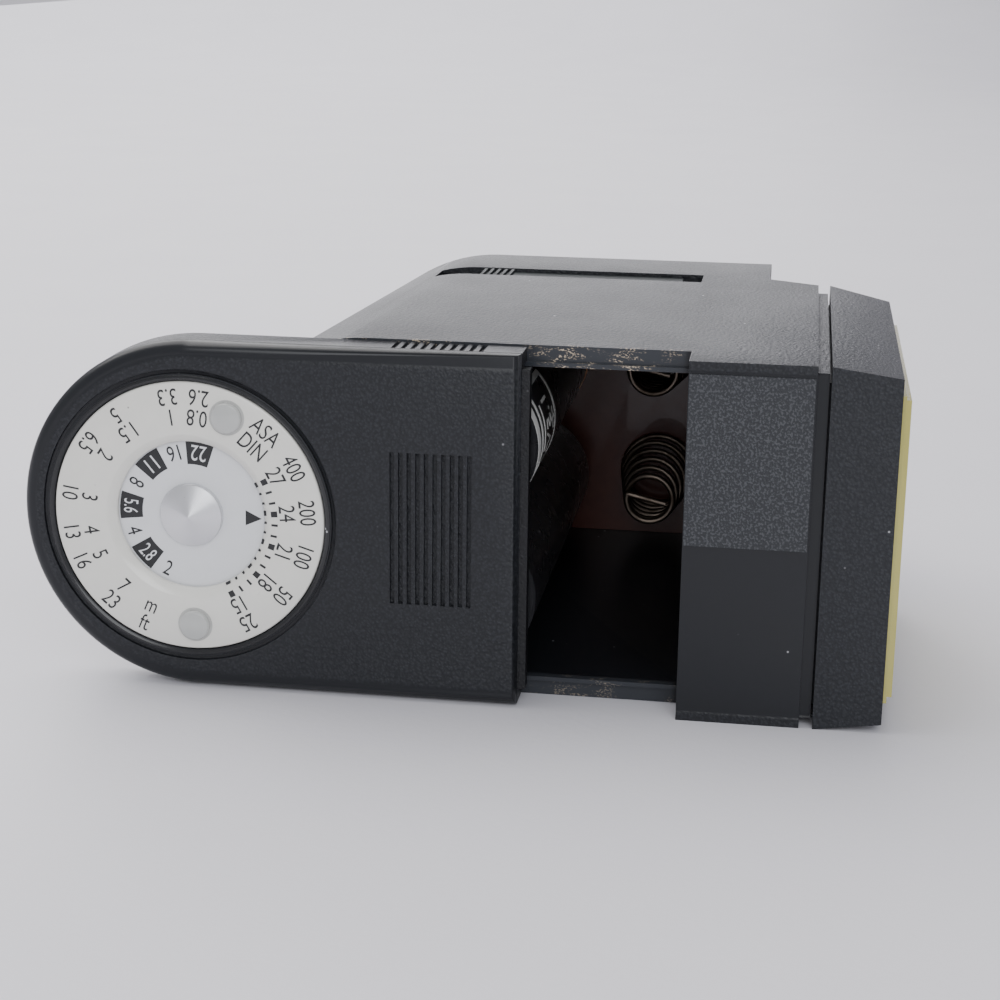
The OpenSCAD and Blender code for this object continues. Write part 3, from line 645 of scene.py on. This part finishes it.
class FLASHGUN_OT_dial(bpy.types.Operator):
    """Exposure dial: clear-topped scale ring with two finger bosses, aperture disc, cone and every figure."""
    bl_idname = "flash_gun.dial"
    bl_label = "Exposure dial"

    def execute(self, context):
        top = (FACE_Y - span("scale_ring", 1)[0]) / MM
        ring_low = (FACE_Y - span("scale_ring", 1)[1]) / MM
        disc_top = (FACE_Y - span("aperture_disc", 1)[0]) / MM
        self.ring_top = ring_low + 1.2
        ring_r = (span("scale_ring", 0)[1] - span("scale_ring", 0)[0]) / 2 / MM
        ink = printed("dial_ink", colour("ink"), 0.5)
        self.make_ring(ring_low, ring_r, top)
        self.make_disc(disc_top, ink)
        self.print_ring(ink)
        return {"FINISHED"}

    def make_ring(self, low, radius, boss_top):
        """The ring's section has a bevelled window and a softened rim."""
        up = self.ring_top
        window = 7.6
        section = [(window, low), (radius - 0.03, low), (radius, low + 0.05), (radius, up - 0.22),
                   (radius - 0.06, up - 0.08), (radius - 0.2, up), (window + 0.95, up),
                   (window + 0.78, up - 0.05), (window + 0.1, up - 0.75), (window, up - 0.85)]
        white = printed("scale_white", colour("scale"), 0.3, coat_weight=0.6)
        plate = turned(section, DIAL, steps=192, closed=True)
        make_piece("scale_ring_plate", [plate], white, "ring", ("scale_ring", "scale_print"), 50)
        clear = printed("boss_clear", (0.66, 0.67, 0.655), 0.12, coat_weight=1.0, transmission_weight=0.35)
        dome = np.linspace(0, math.pi / 2, 8)
        rise = boss_top - up
        edge = [(BOSS_R - 0.25 * (1 - math.cos(a)), up - 0.25 + rise * (0.62 + 0.38 * math.sin(a)))
                for a in dome]
        crown = [(r, boss_top - 0.26 + 0.22 * (1 - (r / 1.3) ** 2)) for r in (1.1, 0.8, 0.4, 0.0)]
        shape = [(0.0, up - 0.4), (BOSS_R, up - 0.4)] + edge + crown
        bosses = [turned(shape, round_dial(angle, BOSS_RING), steps=48) for angle in BOSS_AT]
        make_piece("ring_bosses", bosses, clear, "ring", (), 60)
        band = [(1.5, up), (1.78, up), (1.78, up + 0.02), (1.5, up + 0.02)]
        halo = [turned(band, round_dial(angle, BOSS_RING), steps=48, closed=True) for angle in BOSS_AT]
        make_piece("boss_shadows", halo, printed("boss_shade", (0.5, 0.5, 0.48), 0.4), "ring")

    def make_disc(self, top, ink):
        """Cool white disc, its dark blocks and figures, and the shallow spun cone."""
        white = printed("disc_white", colour("disc"), 0.4)
        section = [(0.0, top - 0.28), (8.9, top - 0.28), (8.9, top), (0.0, top)]
        make_piece("aperture_plate", [turned(section, DIAL, steps=128)], white, "cover",
                   ("aperture_disc",))
        marks = []
        pale = []
        height = size_mm("figure_height") * 0.96
        stops = ("22", "16", "11", "8", "5.6", "4", "2.8", "2")
        first_stop, stop_step, half = 82.4, 23.25, 11.2
        block_in, block_out = 5.15, 7.5
        for step, stop in enumerate(stops):
            angle = first_stop + stop_step * step
            word = text_part(stop, height * (0.92 if "." in stop else 1.0), 0.6 if "." in stop else 0.74)
            if step % 2:
                marks.append(on_dial(word, angle, 6.35, top + 0.015, False))
            else:
                ends = angle - half, angle + half
                marks.append(sector(block_in, block_out, *ends, top - 0.01, top + 0.02, 8))
                pale.append(on_dial(word, angle, 6.3, top + 0.035, False))
        tip = 7.15
        arrow = np.array([[tip, 0], [5.5, 0.78], [5.5, -0.78]])
        turn = math.radians(-1.0)
        outward, sideways = [math.cos(turn), 0, math.sin(turn)], [-math.sin(turn), 0, math.cos(turn)]
        across = arrow[:, :1] * outward + arrow[:, 1:] * sideways
        points = np.concatenate([DIAL + MM * across + FRONT * MM * h for h in (top - 0.01, top + 0.02)])
        marks.append((points, [[0, 1, 2], [5, 4, 3], [0, 3, 4, 1], [1, 4, 5, 2], [2, 5, 3, 0]]))
        make_piece("aperture_marks", marks, ink, "cover")
        make_piece("aperture_figures", pale, printed("pale_ink", colour("disc"), 0.4), "cover")
        base = top + 0.02
        cone = [(0.0, -2.7), (1.6, -2.7), (1.6, base), (3.2, base), (3.2, base + 0.42), (3.12, base + 0.52)]
        cone += [(r, base + 0.52 + 0.98 * (1 - r / 3.12) ** 0.9) for r in (2.8, 2.2, 1.6, 1.0, 0.5, 0.2, 0.0)]
        metal = Paint("spun_metal", (0.74, 0.745, 0.77), 0.24, metallic=1.0)
        x, _, z = metal.axes()
        dx, dz = x - DIAL[0] / MM, z - DIAL[2] / MM
        wave = (dx * dx + dz * dz) ** 0.5 * 55.0
        metal.bump(wave.math("SINE", wave), 0.004)
        metal.feed("Roughness", 0.24 + metal.noise(0.5, 3.0) * 0.14)
        make_piece("dial_cone", [turned(cone, DIAL, steps=128)], metal.material, "cover",
                   ("dial_rivet",), 25)

    def print_ring(self, ink):
        """Distances in feet and metres run by doublings, film speeds by equal steps, with ticks between."""
        height = size_mm("figure_height")
        level = self.ring_top + 0.012
        outer, inner = 12.25, 10.2
        one_metre, doubling = 98.2, 46.0
        units_at, names_at = -113.5, 48.5
        words = []
        feet = ("2.6", "3.3", "5", "6.5", "10", "13", "16", "23")
        metres = ("0.8", "1", "1.5", "2", "3", "4", "5", "7")
        for far_feet, far_metres in zip(feet, metres):
            angle = one_metre + doubling * math.log2(float(far_metres))
            words.append(on_dial(text_part(far_feet, height), angle, outer, level, False))
            words.append(on_dial(text_part(far_metres, height), angle, inner, level, False))
        words.append(on_dial(text_part("ft", height), units_at, outer, level, False))
        words.append(on_dial(text_part("m", height), units_at, inner, level, False))
        speed_step, first_speed = 22.1, 27.4
        speeds = zip(("400", "200", "100", "50", "25"), ("27", "24", "21", "18", "15"))
        for step, (asa, din) in enumerate(speeds):
            angle = first_speed - speed_step * step
            words.append(on_dial(text_part(asa, height), angle, outer, level, True))
            words.append(on_dial(text_part(din, height), angle, inner, level, True))
        words.append(on_dial(text_part("ASA", height), names_at, outer, level, True))
        words.append(on_dial(text_part("DIN", height), names_at, inner, level, True))
        third = speed_step / 3
        for tick in range(13):
            angle = first_speed - third * tick
            half = 1.9 if tick % 3 == 0 else 0.75
            words.append(sector(8.5, 9.15, angle - half, angle + half, level - 0.03, level + 0.01))
            words.append(sector(7.62, 8.05, angle - half, angle + half, level - 0.9, level - 0.56))
        make_piece("scale_figures", words, ink, "ring")


class FLASHGUN_OT_housing(bpy.types.Operator):
    """Main housing: rounded edges, grain, the ledge under the cover, greyed and with pale soil streaks that
    are stronger on its upper side, and the two-tone fixed panel.
    """
    bl_idname = "flash_gun.housing"
    bl_label = "Housing"

    def execute(self, context):
        panel_x = span("panel_label", 0)[0]

        def outside(paint):
            """Grain on the outer faces behind the ledge; neck, bay and lower panel stay smooth."""
            x, y, z = paint.axes()
            behind = y.above(LEDGE_Y / MM + 0.1, LEDGE_Y / MM + 0.5)
            off = z - DIAL[2] / MM
            shell = abs(off).above(16.9, 17.2)
            bare_end = 1.0 - x.above(DIAL[0] / MM + 15.4, DIAL[0] / MM + 15.8)
            panel_side = x.above(panel_x / MM - 0.2, panel_x / MM)
            return (behind.most(panel_side) * shell).most(bare_end * behind)

        paint = grained("housing_grain", colour("housing"), size_mm("grain") * 1.05, 0.1, 0.42, 0.06, outside)
        x, y, z = paint.axes()
        off = abs(z - DIAL[2] / MM)
        ledge = 1.0 - y.above(LEDGE_Y / MM + 0.3, LEDGE_Y / MM + 0.6)
        ledge = ledge * (1.0 - x.above(panel_x / MM - 1.0, panel_x / MM - 0.3)) * off.above(15.6, 15.75)
        streak = paint.noise(0.5, 5.0, (0.3, 1, 1)).above(0.46, 0.56)
        crumbs = paint.noise(0.16, 3.0, (0.6, 1, 1)).above(0.5, 0.62)
        drifts = paint.noise(4.0, 2.0).above(0.38, 0.55)
        # the ledge is greyed, and its pale streaks are made stronger on the upper side than on the lower
        upper_side = z.above(DIAL[2] / MM - 1.0, DIAL[2] / MM + 1.0)
        soil = ledge * streak * crumbs * drifts * (0.35 + upper_side * 0.65)
        greyed = paint.blend(ledge * 0.75, paint.fed("Base Color"), (0.04, 0.044, 0.052))
        paint.feed("Base Color", paint.blend(soil * 0.9, greyed, (0.56, 0.46, 0.34)))

        def weigh(a, b):
            panel_front = near(a[:, 1], FACE_Y) & near(b[:, 1], FACE_Y)
            off_a, off_b = np.abs(a[:, 2] - DIAL[2]), np.abs(b[:, 2] - DIAL[2])
            long_edge = near(off_a, BODY_HALF) & near(off_b, BODY_HALF)
            high = span("main_housing", 1)[1]
            rear = near(a[:, 1], high) & near(b[:, 1], high)
            share = np.full(len(a), 0.1)
            share[panel_front & long_edge] = 0.95
            share[rear] = 0.6
            return share

        softened("main_housing", "main_housing_shell", paint.material, "housing",
                 size_mm("edge_round"), weigh, 6)
        speckle = Paint("panel_speckle", colour("panel"), 0.5, specular_ior_level=0.5)
        sand = speckle.noise(0.24, 3.0)
        sparkle = sand.above(0.5, 0.6)
        tone = speckle.blend(sparkle * 0.5, colour("panel"), (0.085, 0.09, 0.1))
        speckle.feed("Base Color", dusted(speckle, tone, 0.03))
        speckle.feed("Roughness", 0.52 - sparkle * 0.16)
        speckle.bump(sand, 0.12)
        dress(speckle.material, "panel_label")
        return {"FINISHED"}


class FLASHGUN_OT_head(bpy.types.Operator):
    """Lamp head: tapered grained bezel, tinted window, and the reflector and tube behind it."""
    bl_idname = "flash_gun.head"
    bl_label = "Lamp head"

    def execute(self, context):
        low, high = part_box("bezel")
        black = tuple(c * 1.15 for c in colour("housing"))
        grain = grained("bezel_grain", black, size_mm("grain"), 0.085, 0.42, 0.06)
        slack, outer_half, far_side = 0.1 * MM, 16.4 * MM, 38 * MM

        def weigh(a, b):
            front = (a[:, 1] < low[1] + slack) & (b[:, 1] < low[1] + slack)
            face = (a[:, 0] > high[0] - slack) & (b[:, 0] > high[0] - slack)
            edge = (np.abs(a[:, 2] - DIAL[2]) > outer_half) & (np.abs(b[:, 2] - DIAL[2]) > outer_half)
            share = np.where(front & edge, 0.95, 0.12)
            share[face & edge] = 0.35
            share[(a[:, 1] > low[1] + far_side) & (b[:, 1] > low[1] + far_side)] = 0.5
            return share

        softened("bezel", "bezel_shell", grain.material, "housing",
                 size_mm("edge_round"), weigh, 6)
        tint = clear_plastic("window_tint", colour("window"), 0.22, 0.25, coat_weight=0.5)
        softened("window", "window_pane", tint, "housing", 0.4, all_over(0.6), 3)
        mirror = bare_metal("reflector_metal", (0.9, 0.9, 0.9), 0.12, (1, 1, 8), (0.8, 0.8, 0.78))
        glass = clear_plastic("tube_glass", (0.9, 0.93, 0.95), 0.05, 0.9)
        dress(mirror, "reflector")
        dress(glass, "flash_tube")
        dress(bare_metal("cap_metal", (0.6, 0.6, 0.62), 0.3), "tube_end_caps")
        return {"FINISHED"}


def cell_shape(node):
    """A cell about its own axis, which runs along Y: rolled sleeve edge, flat near end, and its shoulder."""
    low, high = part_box(node)
    centre = (np.array(low) + np.array(high)) / 2
    centre[1] = low[1]
    r = (high[0] - low[0]) / 2 / MM
    long = (high[1] - low[1]) / MM
    profile = [(0.0, -0.02), (r - 2.2, -0.02), (r - 1.9, -0.25), (r - 0.9, -0.3), (r - 0.8, -0.03),
               (r - 0.25, 0.0), (r, -0.3), (r, -long + 0.35), (r - 0.4, -long + 0.02), (0.0, -long + 0.02)]
    return turned(profile, centre, steps=96), centre, r


def cell_patch(centre, r, start, end, near_y, far_y, proud=0.03, steps=24):
    """A thin closed patch wrapped on a cell between two angles, degrees from +X towards +Z."""
    angle = np.radians(np.linspace(start, end, steps))
    direction = np.stack([np.cos(angle), np.zeros(steps), np.sin(angle)], -1) * MM
    rings = [(r - 0.05, near_y), (r + proud, near_y), (r + proud, far_y), (r - 0.05, far_y)]
    points = np.concatenate([centre + direction * q + np.array([0, y * MM, 0]) for q, y in rings])
    faces = [list(f) for f in quads(4, steps, wrap_rows=True)]
    return points, faces + [[k * steps for k in range(4)], [k * steps + steps - 1 for k in (3, 2, 1, 0)]]


def cell_word(centre, r, words, height, angle, along_y, proud=0.045):
    """A word wrapped on a cell: its run goes round the cell downwards and its top faces the near end."""
    points, faces = text_part(words, height, 0.8)
    around = math.radians(angle) - points[:, 0] / r
    reach = (r + proud + points[:, 2]) * MM
    y = (along_y - points[:, 1]) * MM
    moved = centre + np.stack([np.cos(around) * reach, y, np.sin(around) * reach], -1)
    return moved, faces


class FLASHGUN_OT_battery_bay(bpy.types.Operator):
    """What the open bay shows: two cells, two cone springs and the brown contact board."""
    bl_idname = "flash_gun.battery_bay"
    bl_label = "Battery bay"

    def execute(self, context):
        self.make_cells()
        self.make_springs()
        board = Paint("board_resin", (0.085, 0.022, 0.015), 0.3, coat_weight=0.3)
        layers = board.noise(1.6, 5.0)
        resin = board.blend(layers, (0.07, 0.018, 0.012), (0.13, 0.04, 0.028))
        board.feed("Base Color", dusted(board, resin, 0.06))
        board.feed("Roughness", 0.26 + layers * 0.2)
        board.bump(layers, 0.02)
        dress(board.material, "contact_board")
        return {"FINISHED"}

    def make_cells(self):
        black = smooth_plastic("sleeve_black", (0.012, 0.012, 0.014), 0.28)
        white = smooth_plastic("sleeve_white", (0.62, 0.62, 0.6), 0.33)
        copper = bare_metal("sleeve_copper", (0.8, 0.4, 0.16), 0.3)
        tin = bare_metal("cell_tin", (0.62, 0.6, 0.56), 0.3, tarnish=(0.4, 0.36, 0.3))
        lower, centre, r = cell_shape("cell_lower")
        make_piece("cell_lower_body", [lower], black, "housing", ("cell_lower",), 30)
        upper, centre, r = cell_shape("cell_upper")
        make_piece("cell_upper_body", [upper], black, "housing", ("cell_upper",), 30)
        long = (span("cell_upper", 1)[1] - span("cell_upper", 1)[0]) / MM
        band = cell_patch(centre, r, -180, 180, long - 5.0, long - 1.0, 0.02, 96)
        make_piece("cell_upper_band", [band], copper, "housing")
        label = [cell_patch(centre, r, -180, 180, 0.5, 2.3, 0.03, 96)]
        for start, end, low, high in ((-34, 46, 3.6, 4.3), (-34, 46, 13.1, 13.8), (41, 46, 3.6, 13.8),
                                      (-34, -29, 3.6, 13.8), (-12, 26, 5.6, 6.0), (-88, -40, 3.6, 4.2),
                                      (-88, -40, 13.1, 13.8), (-44, -40, 3.6, 13.8)):
            label.append(cell_patch(centre, r, start, end, low, high))
        label.append(cell_word(centre, r, "1.5V", 3.0, 6, 8.6))
        label.append(cell_word(centre, r, "+", 4.2, 6, 11.6))
        make_piece("cell_label", label, white, "housing")
        dress(tin, "cell_cap_upper", "cell_cap_lower", "plus_contact_upper", "plus_contact_lower")

    def make_springs(self):
        """Each spring lies flat for a turn at the board, climbs while its radius falls, and ends in a bar."""
        metal = bare_metal("spring_metal", (0.27, 0.22, 0.18), 0.42, tarnish=(0.1, 0.07, 0.05))
        thick = size_mm("spring_wire")
        turns = 6.6
        share = np.linspace(0, 1, 320)
        for node in ("spring_upper", "spring_lower"):
            low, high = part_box(node)
            long = (high[1] - low[1]) / MM
            centre = middle(node)
            centre[1] = high[1]
            rise = np.interp(share, [0, 0.15, 0.88, 1], [0, thick * 0.6, long - 1.6 * thick, long - thick])
            radius = np.interp(share, [0, 0.15, 0.88, 1], [4.3, 4.3, 2.75, 2.65])
            angle = -2 * np.pi * turns * share + 0.4
            coil = np.stack([np.cos(angle) * radius, -rise - thick / 2, np.sin(angle) * radius], -1)
            away = coil[-1] * [1, 0, 1]
            bar = coil[-1] - away * np.linspace(0.12, 1.75, 14)[:, None]
            path = centre + MM * np.concatenate([coil, bar])
            make_piece(node + "_wire", [wire(path, thick / 2 * MM, FRONT)], metal, "housing",
                       (node,))


class FLASHGUN_OT_controls(bpy.types.Operator):
    """Power slider, ready lamp, test button and the shoe foot with its contact and screws."""
    bl_idname = "flash_gun.controls"
    bl_label = "Controls and foot"

    def execute(self, context):
        dark = smooth_plastic("slider_satin", (0.007, 0.011, 0.011), 0.5, specular_ior_level=0.2)
        softened("power_slider", "power_slider_strip", dark, "slider", 0.15,
                 all_over(0.6), 2)
        self.button(smooth_plastic("button_red", (0.33, 0.012, 0.01), 0.25))
        dress(clear_plastic("lamp_tint", (0.85, 0.2, 0.03), 0.12, 0.6), "ready_lens")
        dress(clear_plastic("neon_glass", (0.95, 0.75, 0.6), 0.05, 0.8), "neon_lamp")
        foot = smooth_plastic("foot_gloss", (0.011, 0.011, 0.013), 0.3)
        softened("shoe_foot", "shoe_foot_plate", foot, "housing", 0.35, all_over(0.7), 3)
        dress(bare_metal("pin_brass", (0.75, 0.62, 0.38), 0.25), "foot_contact")
        dress(bare_metal("screw_steel", (0.62, 0.62, 0.64), 0.28), "foot_screws")
        return {"FINISHED"}

    @staticmethod
    def button(red):
        """A turned cap with a softened, slightly dished end."""
        low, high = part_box("test_button")
        r = 2.6
        collar_r, collar_t = 3.5, 0.8
        long = (high[0] - low[0]) / MM
        centre = middle("test_button")
        centre[0] = high[0]
        profile = [(0.0, 0.0), (collar_r, 0.0), (collar_r, collar_t), (r, collar_t), (r, long - 0.35),
                   (r - 0.12, long - 0.1), (r - 0.4, long), (1.7, long - 0.06), (0.8, long - 0.14),
                   (0.0, long - 0.16)]
        cap = turned(profile, centre, (-1.0, 0.0, 0.0), 64)
        make_piece("test_button_cap", [cap], red, "button", ("test_button",), 40)


class FLASHGUN_OT_inner_parts(bpy.types.Operator):
    """Finishes of the pieces inside, which show only without the shells, and the test button's spring."""
    bl_idname = "flash_gun.inner_parts"
    bl_label = "Inner parts"

    def execute(self, context):
        copper = bare_metal("winding_copper", (0.62, 0.26, 0.1), 0.35, (1, 1, 12))
        steel = bare_metal("switch_steel", (0.55, 0.55, 0.56), 0.35)
        finishes = {
            "circuit_board": printed("resin_paper", (0.24, 0.15, 0.06), 0.5),
            "transformer_core": printed("ferrite", (0.06, 0.06, 0.065), 0.6),
            "transformer_winding": copper, "trigger_coil": copper,
            "switch_body": steel, "capacitor": steel,
            "capacitor_sleeve": smooth_plastic("shrink_sleeve", (0.015, 0.03, 0.1), 0.3),
            "test_switch": printed("switch_grey", (0.08, 0.08, 0.085), 0.5),
        }
        for node, finish in finishes.items():
            dress(finish, node)
        self.return_spring(steel)
        return {"FINISHED"}

    @staticmethod
    def return_spring(steel):
        """A helix along X of three turns, filling the box of the spring's CAD node."""
        low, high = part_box("button_spring")
        press = next(j for j in frame["record"]["behaviour"]["joints"] if j["name"] == "test_press")
        centre = middle("button_spring")
        thick = 0.35 * MM
        turns = 3
        share = np.linspace(0, 1, 120)
        turn = 2 * turns * np.pi * share
        radius = (high[2] - low[2] - thick) / 2
        path = np.stack([low[0] + thick / 2 + share * (high[0] - low[0] - thick),
                         centre[1] + radius * np.cos(turn), centre[2] + radius * np.sin(turn)], -1)
        piece = make_piece("button_spring_wire", [wire(path, thick / 2, np.array([1.0, 0.0, 0.0]))], steel,
                           "housing", ("button_spring",))
        long = high[0] - low[0]
        (long - press["range_m"][1]) / long
        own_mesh(piece)


class FLASHGUN_PT_panel(bpy.types.Panel):
    """Sidebar panel with the flash gun's colours, sizes and pieces."""
    bl_idname = "FLASHGUN_PT_panel"
    bl_label = "Flash Gun"
    bl_space_type = "VIEW_3D"
    bl_region_type = "UI"
    bl_category = "Flash Gun"

    def draw(self, context):
        for group in (context.scene.flash_gun_colours, context.scene.flash_gun_sizes):
            for name in group.__annotations__:
                self.layout.prop(group, name)
        for operator in OPERATORS:
            self.layout.operator(operator.bl_idname)


OPERATORS = (FLASHGUN_OT_stage, FLASHGUN_OT_cover, FLASHGUN_OT_dial, FLASHGUN_OT_housing, FLASHGUN_OT_head,
             FLASHGUN_OT_battery_bay, FLASHGUN_OT_controls, FLASHGUN_OT_inner_parts)
CLASSES = (FlashGunColours, FlashGunSizes) + OPERATORS + (FLASHGUN_PT_panel,)


def register():
    for cls in CLASSES:
        bpy.utils.register_class(cls)
    bpy.types.Scene.flash_gun_colours = bpy.props.PointerProperty(type=FlashGunColours)
    bpy.types.Scene.flash_gun_sizes = bpy.props.PointerProperty(type=FlashGunSizes)


def unregister():
    del bpy.types.Scene.flash_gun_sizes
    del bpy.types.Scene.flash_gun_colours
    for cls in reversed(CLASSES):
        bpy.utils.unregister_class(cls)


def main():
    register()
    for operator in OPERATORS:
        group, name = operator.bl_idname.split(".")
        getattr(getattr(bpy.ops, group), name)()


if __name__ == "__main__":
    main()
